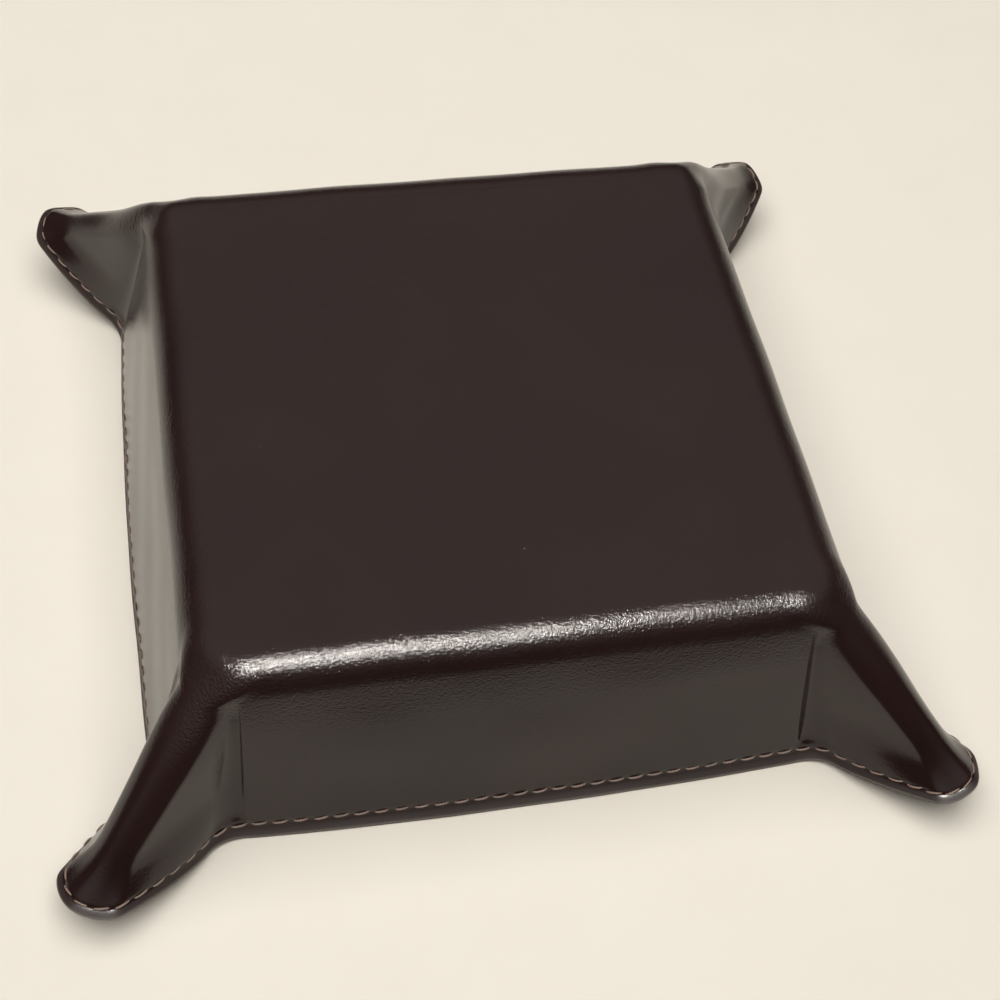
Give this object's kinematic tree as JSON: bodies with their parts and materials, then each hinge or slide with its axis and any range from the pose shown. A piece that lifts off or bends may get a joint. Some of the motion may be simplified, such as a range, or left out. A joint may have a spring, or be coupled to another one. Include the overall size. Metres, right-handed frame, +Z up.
{
  "type": "valet tray",
  "caption": "Square tray of stitched, formed leather over boards, with leaning walls and an open rounded ear at each corner, for keys and coins.",
  "frame": {"origin": "centre of the square outline, on the surface that the rims stand on", "axes": "+Z up, from the rims to the base, because the tray lies upside down as pictured; +X and +Y along the walls, with the wall nearest the camera at -Y"},
  "size_m": [0.2108, 0.2108, 0.0485],
  "materials": {
    "leather": "smooth, semi-gloss",
    "lining": "matt",
    "board": "bare grey-brown fibreboard",
    "thread": "waxed twisted thread"
  },
  "bodies": {
    "root": {"outer_leather": "leather", "lining": "lining", "base_board": "board", "front_wall_board": "board", "right_wall_board": "board", "back_wall_board": "board", "left_wall_board": "board", "needle_thread": "thread", "bobbin_thread": "thread"}
  },
  "joints": []
}
